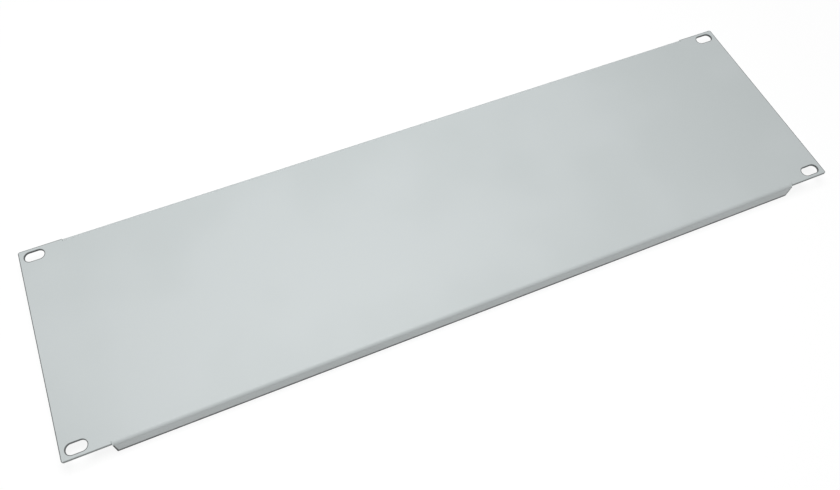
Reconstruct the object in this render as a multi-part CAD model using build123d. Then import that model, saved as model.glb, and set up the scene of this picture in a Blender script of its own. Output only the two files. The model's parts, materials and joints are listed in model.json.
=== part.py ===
from build123d import *
import os

# Blanking panel for a 19-inch equipment rack, three height units tall.
# It is one sheet-steel blank: a flat face with a mounting slot near each corner, and a narrow
# flange folded back along each long edge. The flanges stop short of the ends, so that the flat
# ears left there can lie on the rack's mounting rails.
#
# +X runs along the width, +Y towards the upper edge of the fitted panel and +Z out of its front
# face. The origin is the centre of the slot pattern, on the plane where the ears meet the rails:
# the back of the sheet. The panel lies face up on the edges of its two flanges.

# Face: the height runs over the two folds
PANEL_WIDTH = 482.6
PANEL_HEIGHT = 132.5
SHEET_THICKNESS = 1.2

# Mounting slots: each centre's distance from the panel's end and from the fold's outer face
SLOT_FROM_END = 8.75
SLOT_FROM_EDGE = 5.925
SLOT_LENGTH = 11.4
SLOT_WIDTH = 6.2

# Ears: their long edges lie a little inside the outer faces of the folds
EAR_LENGTH = 25.8
EAR_INSET = 0.5
EAR_CORNER_RADIUS = 1.2

# Flanges: the depth runs from the front of the face to the flange's cut edge
FLANGE_DEPTH = 12.0
FLANGE_CORNER_RADIUS = 0.5
BEND_INNER_RADIUS = 1.0

# Hairline cut that parts each end of a bend from the ear beside it, so that the fold stays clean
RELIEF_WIDTH = 0.1
RELIEF_PAST_BEND = 0.1

# The punch rolls the front edges over a little, and the paint rounds them further
EDGE_ROUNDING = 0.2

half_height = PANEL_HEIGHT / 2
slot_spacing_x = PANEL_WIDTH - 2 * SLOT_FROM_END
slot_spacing_y = PANEL_HEIGHT - 2 * SLOT_FROM_EDGE
flange_length = PANEL_WIDTH - 2 * EAR_LENGTH
bend_outer_radius = BEND_INNER_RADIUS + SHEET_THICKNESS
bend_start = half_height - bend_outer_radius
ear_start = flange_length / 2 + RELIEF_WIDTH
ear_end = PANEL_WIDTH / 2
ear_height = PANEL_HEIGHT - 2 * EAR_INSET


def face_outline():
    """Flat face: a plate that ends at the bends, and an ear at each end that rises beside them."""
    outline = Rectangle(PANEL_WIDTH, 2 * bend_start)
    ear = Rectangle(ear_end - ear_start, ear_height)
    for side in (1, -1):
        outline += Pos(side * (ear_start + ear_end) / 2, 0) * ear
    columns = outline.vertices().group_by(Axis.X)
    return fillet(columns[0] + columns[-1], EAR_CORNER_RADIUS)


def relief_slits():
    """Narrow slits between the ears and the ends of the bends."""
    slit = Rectangle(RELIEF_WIDTH, 2 * (bend_outer_radius + RELIEF_PAST_BEND))
    return [place * slit for place in GridLocations(flange_length + RELIEF_WIDTH, PANEL_HEIGHT, 2, 2)]


def mounting_slots():
    """Slots with round ends, one near each corner, lying along the width."""
    slot = SlotOverall(SLOT_LENGTH, SLOT_WIDTH)
    return [place * slot for place in GridLocations(slot_spacing_x, slot_spacing_y, 2, 2)]


def make_front():
    """The flat face and its ears, with the front edges of the ears and the slots rounded over."""
    front = extrude(face_outline() - relief_slits() - mounting_slots(), SHEET_THICKNESS)
    front_edges = front.edges().group_by(Axis.Z)[-1]
    punched = [edge for edge in front_edges if abs(edge.center().X) > ear_start + RELIEF_WIDTH]
    return fillet(punched, EDGE_ROUNDING)


def fold_section():
    """Section of one fold in the Y-Z plane: a quarter-round bend that runs on into the flange."""
    tip = SHEET_THICKNESS - FLANGE_DEPTH
    inner_face = half_height - SHEET_THICKNESS
    seam = Line((bend_start, 0), (bend_start, SHEET_THICKNESS))
    outer_bend = TangentArc(seam @ 1, (half_height, -BEND_INNER_RADIUS), tangent=(1, 0))
    outer_wall = Line(outer_bend @ 1, (half_height, tip))
    cut_edge = Line(outer_wall @ 1, (inner_face, tip))
    inner_wall = Line(cut_edge @ 1, (inner_face, -BEND_INNER_RADIUS))
    inner_bend = TangentArc(inner_wall @ 1, (bend_start, 0), tangent=(0, 1))
    return make_face([seam, outer_bend, outer_wall, cut_edge, inner_wall, inner_bend])


def make_fold():
    """The bend and flange along the upper edge, with rounded corners at the flange's ends."""
    fold = extrude(Plane.YZ * fold_section(), flange_length / 2, both=True)
    end_corners = fold.edges().filter_by(Axis.Y).group_by(Axis.Z)[0]
    fold = fillet(end_corners, FLANGE_CORNER_RADIUS)
    outer_edges = fold.faces().sort_by(Axis.Y)[-1].edges()
    return fillet(outer_edges.group_by(Axis.Z)[0], EDGE_ROUNDING)


def make_panel():
    """The whole panel: the face with the same fold along its upper and its lower edge."""
    upper_fold = make_fold()
    lower_fold = mirror(upper_fold, about=Plane.XZ)
    return make_front() + upper_fold + lower_fold


blanking_panel = make_panel()

os.makedirs("parts", exist_ok=True)
export_step(blanking_panel, "parts/blanking_panel.step")
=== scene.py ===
# %% [markdown]
# A rack blanking panel is a plain thing: one sheet of steel, punched, folded and powder-coated.
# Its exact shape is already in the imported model, with every fold and slot at its real size, so
# nothing is modelled again here. The work in Blender is the finish, the light and the camera.

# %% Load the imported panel
import json
import math

import bpy
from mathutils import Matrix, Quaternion, Vector


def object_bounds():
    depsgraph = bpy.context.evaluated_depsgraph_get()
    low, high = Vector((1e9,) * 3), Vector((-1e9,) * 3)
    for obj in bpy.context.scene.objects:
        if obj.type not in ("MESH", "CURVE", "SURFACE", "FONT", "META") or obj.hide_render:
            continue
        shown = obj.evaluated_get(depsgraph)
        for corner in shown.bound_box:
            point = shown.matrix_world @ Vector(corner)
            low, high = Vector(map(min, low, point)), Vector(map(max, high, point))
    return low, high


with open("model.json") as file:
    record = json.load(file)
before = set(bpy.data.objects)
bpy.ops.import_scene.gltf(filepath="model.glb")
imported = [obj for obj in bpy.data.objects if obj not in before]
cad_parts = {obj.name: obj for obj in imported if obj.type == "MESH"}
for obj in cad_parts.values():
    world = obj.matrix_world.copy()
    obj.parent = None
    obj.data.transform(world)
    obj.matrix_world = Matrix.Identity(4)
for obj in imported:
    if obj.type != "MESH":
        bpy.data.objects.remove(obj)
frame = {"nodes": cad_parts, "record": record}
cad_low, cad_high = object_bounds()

MM = 0.001


def in_mm(length):
    """A length in metres, as rounded millimetres for printing."""
    return round(length / MM, 2)


panel = frame["nodes"]["blanking_panel"]
print("panel", [in_mm(side) for side in cad_high - cad_low], "mm")

# %% [markdown]
# The finish changes at the cut edges, so the material has to know where they are. The sheet's
# outline is simple enough to write down: half its width, the height of the ears, the place where
# they begin, and the slots. The sizes are read from the panel and its mounts, not typed again. A
# corner of the mesh that lies WELL_PAST the end of the flanges is on an ear for sure.

# %% Measure the panel's outline
WELL_PAST = 0.003

half_width = cad_high.x
flange_tip = cad_low.z

mounts = {mount["name"]: mount for mount in frame["record"]["mounts"]}
slot_sizes = mounts["rack_slots"]["dims"]
slot_x = slot_sizes["spacing_x_mm"] / 2 * MM
slot_y = slot_sizes["spacing_y_mm"] / 2 * MM
slot_radius = slot_sizes["hole_r_mm"] * MM
slot_straight = slot_sizes["slot_length_mm"] / 2 * MM - slot_radius

corners = [vertex.co for vertex in panel.data.vertices]
flange_end = max(corner.x for corner in corners if corner.z < flange_tip / 2)
ear_half_height = max(corner.y for corner in corners if corner.x > flange_end + WELL_PAST)
print("from the middle, in mm: slots", in_mm(slot_x), in_mm(slot_y))
print("flange ends", in_mm(flange_end), "ears' long edges", in_mm(ear_half_height))

# %% [markdown]
# A finish is a network of shader nodes. By hand, each node is added, filled in and wired in the
# shader editor. In code two small helpers keep such a network readable: one sets an input to a
# number or links another node to it, and the other adds a Math node and gives its result.


# %% Helpers that fill inputs and do sums
def fill(socket, value):
    """Sets an input to a number, or links another node's output to it."""
    if isinstance(value, bpy.types.NodeSocket):
        socket.id_data.links.new(value, socket)
    else:
        socket.default_value = value


def sums(tree, operation, *values, clamp=False):
    """A Math node on one to three values."""
    node = tree.nodes.new("ShaderNodeMath")
    node.operation = operation
    node.use_clamp = clamp
    for socket, value in zip(node.inputs, values):
        fill(socket, value)
    return node.outputs[0]


print("helpers ready: fill, sums")

# %% [markdown]
# A node group is a small recipe with named inputs and outputs. Any material can use it, each with
# its own values. Unevenness could come from a photographed texture, but that has edges and repeats.
# Blender's noise is endless and needs no image, and its main setting is how large the blotches are.

# %% Helpers for node groups and noise
VECTOR = "NodeSocketVector"
NUMBER = "NodeSocketFloat"


def new_group(name, inputs, outputs):
    """An empty node group with named inputs and outputs, given as name: socket type."""
    group = bpy.data.node_groups.new(name, "ShaderNodeTree")
    for label, kind in inputs.items():
        group.interface.new_socket(label, in_out="INPUT", socket_type=kind)
    for label, kind in outputs.items():
        group.interface.new_socket(label, in_out="OUTPUT", socket_type=kind)
    return group, group.nodes.new("NodeGroupInput"), group.nodes.new("NodeGroupOutput")


def noise(tree, place, size, detail=2.0, roughness=0.5):
    """Noise whose blotches are about size metres across."""
    node = tree.nodes.new("ShaderNodeTexNoise")
    fill(node.inputs["Vector"], place)
    fill(node.inputs["Scale"], sums(tree, "DIVIDE", 1.0, size))
    fill(node.inputs["Detail"], detail)
    fill(node.inputs["Roughness"], roughness)
    return node.outputs["Fac"]


print("helpers ready: new_group, noise")

# %% [markdown]
# Powder coat is sprayed on as dust and melted in an oven. It never flows quite flat: the surface
# keeps a soft ripple a couple of millimetres across, called orange peel, and a finer grain on top.
# A bump map is the right tool, because both are less than a hundredth of a millimetre high. The
# tone drifts a little over the panel too, in patches as wide as a hand. A Mapping node moves that
# drift so that the left half is the paler one: partly real unevenness, partly painted light there.

# %% Node group for the coat's surface
PEEL_DETAIL = 1.0
GRAIN_DETAIL = 3.0
GRAIN_ROUGHNESS = 0.6
GRAIN_SHARE = 0.18
DRIFT_SIZE = 0.09
# This place puts the drift's paler patch on the left half, as painted light.
PAINTED_LIGHT_DRIFT_PLACE = (-1.76, 1.58, 0.0)


def make_coat_surface():
    """The height of orange peel and grain, from 0 to about 1, the grain, and the tone's drift,
    whose paler left half is painted light.
    """
    group, given, result = new_group(
        "powder_coat_surface",
        {"Place": VECTOR, "Peel size": NUMBER, "Grain size": NUMBER},
        {"Height": NUMBER, "Grain": NUMBER, "Drift_and_painted_light": NUMBER},
    )
    place = given.outputs["Place"]
    peel = noise(group, place, given.outputs["Peel size"], PEEL_DETAIL)
    grain = noise(group, place, given.outputs["Grain size"], GRAIN_DETAIL, GRAIN_ROUGHNESS)
    fill(result.inputs["Height"], sums(group, "MULTIPLY_ADD", grain, GRAIN_SHARE, peel))
    fill(result.inputs["Grain"], grain)

    moved = group.nodes.new("ShaderNodeMapping")
    fill(moved.inputs["Vector"], place)
    fill(moved.inputs["Location"], PAINTED_LIGHT_DRIFT_PLACE)
    fill(result.inputs["Drift_and_painted_light"], noise(group, moved.outputs[0], DRIFT_SIZE))
    return group


coat_surface = make_coat_surface()
print("group", coat_surface.name, "with", len(coat_surface.nodes), "nodes")

# %% [markdown]
# Melted powder draws back from a sharp cut edge, so the coat is thin there and the steel darkens
# it. The same dark lines also paint in shade: the shade in the slots' walls and the contact shadow
# where the flanges stand on the floor. Such lines could be painted on an unwrapped image, but they
# would blur close up. Instead the shader works out how far each point is from the nearest cut,
# which takes only a few Math nodes for a straight edge or a round-ended slot. The panel is the same
# on both sides of its middle, so x and y come in as absolutes. What lies lower than FLANGE_START
# belongs to a flange, and the rest to the face.

# %% Distances to the cut edges
FLANGE_START = -0.0005


def distance_to_slots(tree, x, y):
    """How far a point of the sheet is from the nearest slot's wall."""
    along = sums(tree, "ABSOLUTE", sums(tree, "SUBTRACT", x, slot_x))
    past_straight = sums(tree, "MAXIMUM", sums(tree, "SUBTRACT", along, slot_straight), 0.0)
    across = sums(tree, "SUBTRACT", y, slot_y)
    squares = sums(tree, "MULTIPLY_ADD", across, across, sums(tree, "POWER", past_straight, 2.0))
    return sums(tree, "SUBTRACT", sums(tree, "SQRT", squares), slot_radius)


def distance_to_ear_edges(tree, x, y):
    """How far a point is from the ears' long cut edges. The folds have none there."""
    beside_ear = sums(tree, "LESS_THAN", x, flange_end)
    return sums(tree, "ADD", sums(tree, "SUBTRACT", ear_half_height, y), beside_ear)


def distance_to_panel_ends(tree, x):
    """How far a point is from the ends of the panel."""
    return sums(tree, "SUBTRACT", half_width, x)


def distance_to_flange_ends(tree, x, z):
    """How far a point of a flange is from the flange's end. The face has no edge there."""
    to_end = sums(tree, "ABSOLUTE", sums(tree, "SUBTRACT", x, flange_end))
    on_face = sums(tree, "GREATER_THAN", z, FLANGE_START)
    return sums(tree, "ADD", to_end, on_face)


def distance_to_free_edges(tree, z):
    """How far a point of a flange is from the edge that the panel stands on."""
    return sums(tree, "SUBTRACT", z, flange_tip)


print("slot radius", in_mm(slot_radius), "mm, flange tips at", in_mm(flange_tip), "mm")

# %% [markdown]
# In the photograph every cut edge shows as a fine dark line: along the ears, round the slots
# and, darkest and widest, along the flanges' free edges. These lines are partly a thin coat and
# partly painted shade; the one along the free edges is a painted contact shadow. Each kind of edge
# gets a line of its own strength and width, and the mask is the strongest of them. A little noise
# in the reach keeps the lines from looking ruled.

# %% Node group for the cut edges and their painted shade
SLOT_LINE = {"strength": 0.9, "widening": 1.0}
EAR_LINE = {"strength": 0.65, "widening": 1.0}
PANEL_END_LINE = {"strength": 0.9, "widening": 1.0}
FLANGE_END_LINE = {"strength": 1.0, "widening": 2.0}
# The free edges' line is a painted contact shadow where the flanges stand on the floor.
FREE_EDGE_PAINTED_SHADOW = {"strength": 1.0, "widening": 4.2}
BARE_SHARE = 0.55
WANDER = 0.4
WANDER_SIZE = 0.004


def rescale(tree, value, low, high, new_low=0.0, new_high=1.0):
    """A smooth Map Range: value from low..high becomes new_low..new_high."""
    node = tree.nodes.new("ShaderNodeMapRange")
    node.interpolation_type = "SMOOTHSTEP"
    for socket, number in zip(node.inputs, (value, low, high, new_low, new_high)):
        fill(socket, number)
    return node.outputs["Result"]


def draw_line(tree, distance, reach, strength, widening):
    """A mask that is at full strength near the cut and fades out at its reach."""
    scaled = sums(tree, "DIVIDE", distance, widening)
    bare = sums(tree, "MULTIPLY", reach, BARE_SHARE)
    return rescale(tree, scaled, reach, bare, 0.0, strength)


def make_cut_edges_and_painted_shade():
    """A mask of the places where the sheet was cut, darkened there by a thin coat and by painted
    shade.
    """
    group, given, result = new_group(
        "cut_edges_and_painted_shade", {"Place": VECTOR, "Reach": NUMBER}, {"Edge_and_painted_shade": NUMBER}
    )
    axes = group.nodes.new("ShaderNodeSeparateXYZ")
    fill(axes.inputs[0], given.outputs["Place"])
    x = sums(group, "ABSOLUTE", axes.outputs["X"])
    y = sums(group, "ABSOLUTE", axes.outputs["Y"])
    z = axes.outputs["Z"]
    wander = noise(group, given.outputs["Place"], WANDER_SIZE)
    unevenness = sums(group, "MULTIPLY_ADD", wander, WANDER, 1 - WANDER / 2)
    reach = sums(group, "MULTIPLY", given.outputs["Reach"], unevenness)
    lines = (
        (distance_to_slots(group, x, y), SLOT_LINE),
        (distance_to_ear_edges(group, x, y), EAR_LINE),
        (distance_to_panel_ends(group, x), PANEL_END_LINE),
        (distance_to_flange_ends(group, x, z), FLANGE_END_LINE),
        (distance_to_free_edges(group, z), FREE_EDGE_PAINTED_SHADOW),
    )
    edge = 0.0
    for distance, look in lines:
        edge = sums(group, "MAXIMUM", edge, draw_line(group, distance, reach, **look))
    fill(result.inputs["Edge_and_painted_shade"], edge)
    return group


cut_edges_and_painted_shade = make_cut_edges_and_painted_shade()
print("group", cut_edges_and_painted_shade.name, "with", len(cut_edges_and_painted_shade.nodes), "nodes")

# %% [markdown]
# The material brings the two groups together. It needs a Mix node for its colours, and a way to
# place a group among its other nodes with values of its own.


# %% Helpers for mixing colours and placing groups
def blend_colours(tree, share, first, second):
    """A Mix node on two colours."""
    node = tree.nodes.new("ShaderNodeMix")
    node.data_type = "RGBA"
    fill(node.inputs["Factor"], share)
    fill(node.inputs["A"], first)
    fill(node.inputs["B"], second)
    return node.outputs["Result"]


def place_group(tree, group, **values):
    """A group placed in a material, its inputs set by name."""
    node = tree.nodes.new("ShaderNodeGroup")
    node.node_tree = group
    for label, value in values.items():
        fill(node.inputs[label.replace("_", " ")], value)
    return node.outputs


print("helpers ready: blend_colours, place_group")

# %% [markdown]
# One material dresses the whole panel, because the real panel has one coat all over. It is a
# cool light grey with a satin sheen: rough enough that nothing is mirrored, smooth enough that
# a lamp leaves a broad soft glow. The drift picks between two greys that are nearly the same, its
# paler patch on the left half painted light. The grain makes the sheen a little uneven, and the cut
# edges are darker and rougher, their darkness partly a thin coat and partly painted shade.

# %% The powder coat
COAT_GREY = (0.595, 0.638, 0.64, 1)
COAT_GREY_PALE = (0.625, 0.667, 0.671, 1)
DRIFT_LOW = 0.35
DRIFT_HIGH = 0.65
# Dark grey of the cut-edge lines: partly a thin coat over steel, partly painted shade.
THIN_COAT_AND_SHADE_GREY = (0.085, 0.09, 0.091, 1)
EDGE_REACH = 0.0006
COAT_ROUGHNESS = 0.46
ROUGHNESS_SPREAD = 0.03
GRAIN_LOW = 0.3
GRAIN_HIGH = 0.7
EDGE_ROUGHNESS = 0.62
COAT_SPECULAR = 0.3
PEEL_SIZE = 0.0022
GRAIN_SIZE = 0.0005
PEEL_HEIGHT = 0.000012


def make_powder_coat():
    """Light grey powder coat, with orange peel, and thin dark cut edges that are partly painted
    shade.
    """
    material = bpy.data.materials.new("satin_powder_coat")
    material.use_nodes = True
    tree = material.node_tree
    shader = tree.nodes["Principled BSDF"]
    place = tree.nodes.new("ShaderNodeTexCoord").outputs["Object"]
    surface = place_group(
        tree, coat_surface, Place=place, Peel_size=PEEL_SIZE, Grain_size=GRAIN_SIZE
    )
    edge = place_group(tree, cut_edges_and_painted_shade, Place=place, Reach=EDGE_REACH)["Edge_and_painted_shade"]

    # The drift's tone: partly real unevenness, partly painted light on the left half.
    tone = rescale(tree, surface["Drift_and_painted_light"], DRIFT_LOW, DRIFT_HIGH)
    coat = blend_colours(tree, tone, COAT_GREY, COAT_GREY_PALE)
    # Painted shade: the cut-edge mask darkens the coat along every cut, as well as the thin coat
    # there.
    fill(shader.inputs["Base Color"], blend_colours(tree, edge, coat, THIN_COAT_AND_SHADE_GREY))

    smoothest = COAT_ROUGHNESS - ROUGHNESS_SPREAD
    roughest = COAT_ROUGHNESS + ROUGHNESS_SPREAD
    satin = rescale(tree, surface["Grain"], GRAIN_LOW, GRAIN_HIGH, smoothest, roughest)
    rough_edge = sums(tree, "MULTIPLY", edge, EDGE_ROUGHNESS - COAT_ROUGHNESS)
    fill(shader.inputs["Roughness"], sums(tree, "ADD", satin, rough_edge))
    fill(shader.inputs["Specular IOR Level"], COAT_SPECULAR)

    bump = tree.nodes.new("ShaderNodeBump")
    fill(bump.inputs["Distance"], PEEL_HEIGHT)
    fill(bump.inputs["Height"], surface["Height"])
    fill(shader.inputs["Normal"], bump.outputs["Normal"])
    return material


powder_coat = make_powder_coat()
for material_slot in panel.material_slots:
    material_slot.material = powder_coat
print("coated", panel.name, "with", powder_coat.name)

# %% [markdown]
# The studio's floor and sky are white in the picture without shining hard on the panel. For that
# a shader asks which kind of ray has reached it. Light Path tells what the camera sees apart from
# the light that spreads through the scene, and a Mix Shader gives each its own answer.


# %% Helpers for what the camera sees
def mix_shaders(tree, share, first, second):
    """A Mix Shader node: first where share is 0, second where it is 1."""
    node = tree.nodes.new("ShaderNodeMixShader")
    for socket, value in zip(node.inputs, (share, first, second)):
        fill(socket, value)
    return node.outputs[0]


def glow(tree, strength):
    """White light of the surface's own."""
    node = tree.nodes.new("ShaderNodeEmission")
    fill(node.inputs["Strength"], strength)
    return node.outputs[0]


def seen_directly(tree):
    """1 for what the camera sees, straight or in a reflection or through glass."""
    path = tree.nodes.new("ShaderNodeLightPath").outputs
    direct = sums(tree, "ADD", path["Is Camera Ray"], path["Is Glossy Ray"])
    return sums(tree, "ADD", direct, path["Is Transmission Ray"], clamp=True)


print("helpers ready: mix_shaders, glow, seen_directly")

# %% [markdown]
# The panel lies on a plain white floor. Stronger lamps could make it white, but they would wash
# out the panel. So most of what the camera sees of it is a glow of its own, and the rest is paint,
# which holds the panel's shadow. The glow is a little stronger far away, where the lamp's light
# falls off. The light that the floor throws back comes half from a glow too, as on a light table,
# so the hollow under the panel isn't dark. Seen from below, the floor is clear, so that a view
# from underneath can look into the folds.

# %% Floor paint
FLOOR_WHITE = (0.9, 0.9, 0.9, 1)
FLOOR_ROUGHNESS = 0.9
PAINT_SHARE = 0.2
NEAR_FLOOR = 0.25
FAR_FLOOR = 1.0
NEAR_GLOW = 1.075
FAR_GLOW = 1.194
BOUNCE_SHARE = 0.5
BOUNCE_GLOW = 0.75


def make_floor_paint():
    """White that holds a soft shadow, and is clear from below."""
    material = bpy.data.materials.new("studio_floor")
    material.use_nodes = True
    tree = material.node_tree
    shader = tree.nodes["Principled BSDF"]
    fill(shader.inputs["Base Color"], FLOOR_WHITE)
    fill(shader.inputs["Roughness"], FLOOR_ROUGHNESS)
    fill(shader.inputs["Specular IOR Level"], 0.0)
    paint = shader.outputs[0]

    away = tree.nodes.new("ShaderNodeVectorMath")
    away.operation = "LENGTH"
    fill(away.inputs[0], tree.nodes.new("ShaderNodeTexCoord").outputs["Object"])
    distance = away.outputs["Value"]
    strength = rescale(tree, distance, NEAR_FLOOR, FAR_FLOOR, NEAR_GLOW, FAR_GLOW)
    shown = mix_shaders(tree, PAINT_SHARE, glow(tree, strength), paint)

    thrown_back = mix_shaders(tree, BOUNCE_SHARE, paint, glow(tree, BOUNCE_GLOW))
    from_above = mix_shaders(tree, seen_directly(tree), thrown_back, shown)
    clear = tree.nodes.new("ShaderNodeBsdfTransparent").outputs[0]
    backfacing = tree.nodes.new("ShaderNodeNewGeometry").outputs["Backfacing"]
    surface = mix_shaders(tree, backfacing, from_above, clear)
    fill(tree.nodes["Material Output"].inputs["Surface"], surface)
    return material


floor_paint = make_floor_paint()
print("painted", floor_paint.name, "with", len(floor_paint.node_tree.nodes), "nodes")

# %% [markdown]
# The panel lies face up on the free edges of its flanges, so the floor is a plane at the height
# of its lowest point. It is large enough that its far edge is lost against the white sky.

# %% Floor
FLOOR_SIZE = 6.0

bpy.ops.object.select_all(action="DESELECT")
bpy.ops.mesh.primitive_plane_add(size=FLOOR_SIZE, location=(0, 0, cad_low.z))
floor = bpy.context.object
floor.name = "studio_floor"
floor.data.materials.append(floor_paint)
print("floor at", in_mm(cad_low.z), "mm")

# %% [markdown]
# A pale world fills in light from all round, so that no side of the panel goes black. The camera
# sees plain white there, while the panel is lit by a weaker white.

# %% Sky
WHITE = (1, 1, 1, 1)
WORLD_STRENGTH = 0.24
SEEN_STRENGTH = 1.0

world = bpy.data.worlds.new("studio_sky")
bpy.context.scene.world = world
world.use_nodes = True
sky = world.node_tree.nodes["Background"]
sky_strength = world.node_tree.nodes.new("ShaderNodeMapRange")
fill(sky_strength.inputs["Value"], seen_directly(world.node_tree))
fill(sky_strength.inputs["To Min"], WORLD_STRENGTH)
fill(sky_strength.inputs["To Max"], SEEN_STRENGTH)
fill(sky.inputs["Color"], WHITE)
fill(sky.inputs["Strength"], sky_strength.outputs["Result"])
print("world gives", WORLD_STRENGTH, "and shows", SEEN_STRENGTH)

# %% [markdown]
# The photograph was lit by one large soft source overhead, a little to the left: the face is
# brightest left of its middle and falls off towards the right end, and the folded edge below
# is clearly darker. A sun would light it evenly and a small lamp would leave a hot spot, so this
# is an area lamp: a glowing square that hangs over the panel and points at its face.

# %% Key lamp
KEY_PLACE = Vector((-0.06, 0.028, 0.68))
KEY_AIM = Vector((-0.06, 0.0, 0.0))
KEY_SIZE = 0.4
KEY_POWER = 3.7

bpy.ops.object.select_all(action="DESELECT")
bpy.ops.object.light_add(type="AREA", location=KEY_PLACE)
key_lamp = bpy.context.object
key_lamp.name = "key_lamp"
key_lamp.rotation_euler = (KEY_AIM - KEY_PLACE).to_track_quat("-Z", "Y").to_euler()
key_lamp.data.shape = "SQUARE"
key_lamp.data.size = KEY_SIZE
key_lamp.data.energy = KEY_POWER
print("key lamp", round((KEY_AIM - KEY_PLACE).length, 3), "m from the face,", KEY_POWER, "W")

# %% [markdown]
# The camera's place was worked out from the panel's corners in the photograph, whose real
# spacing is known. It looks down at the panel from its lower left, held a few degrees off level.
# The photograph was cropped a little off its middle, which a small lens shift repeats.

# %% Camera
CAMERA_PLACE = Vector((-0.1338, -0.2263, 0.4285))
CAMERA_AIM = Vector((-0.0251, 0.0073, 0.0))
CAMERA_ROLL = math.radians(2.658)
LENS = 35.11
SENSOR_WIDTH = 36.0
SHIFT_ACROSS = 0.0276
SHIFT_UP = -0.0351
NEAREST_SEEN = 0.01

bpy.ops.object.select_all(action="DESELECT")
bpy.ops.object.camera_add(location=CAMERA_PLACE)
camera = bpy.context.object
camera.name = "camera"
camera.rotation_mode = "QUATERNION"
level = (CAMERA_AIM - CAMERA_PLACE).to_track_quat("-Z", "Y")
camera.rotation_quaternion = level @ Quaternion((0, 0, 1), CAMERA_ROLL)
camera.data.sensor_width = SENSOR_WIDTH
camera.data.lens = LENS
camera.data.shift_x = SHIFT_ACROSS
camera.data.shift_y = SHIFT_UP
camera.data.clip_start = NEAREST_SEEN
bpy.context.scene.camera = camera
print("camera", round((CAMERA_AIM - CAMERA_PLACE).length, 3), "m from the panel")

# %% [markdown]
# Blender's usual view mutes pale colours, as film does. The render is kept in the Standard view,
# so colours come out as they are written.

# %% View transform
bpy.context.scene.view_settings.view_transform = "Standard"
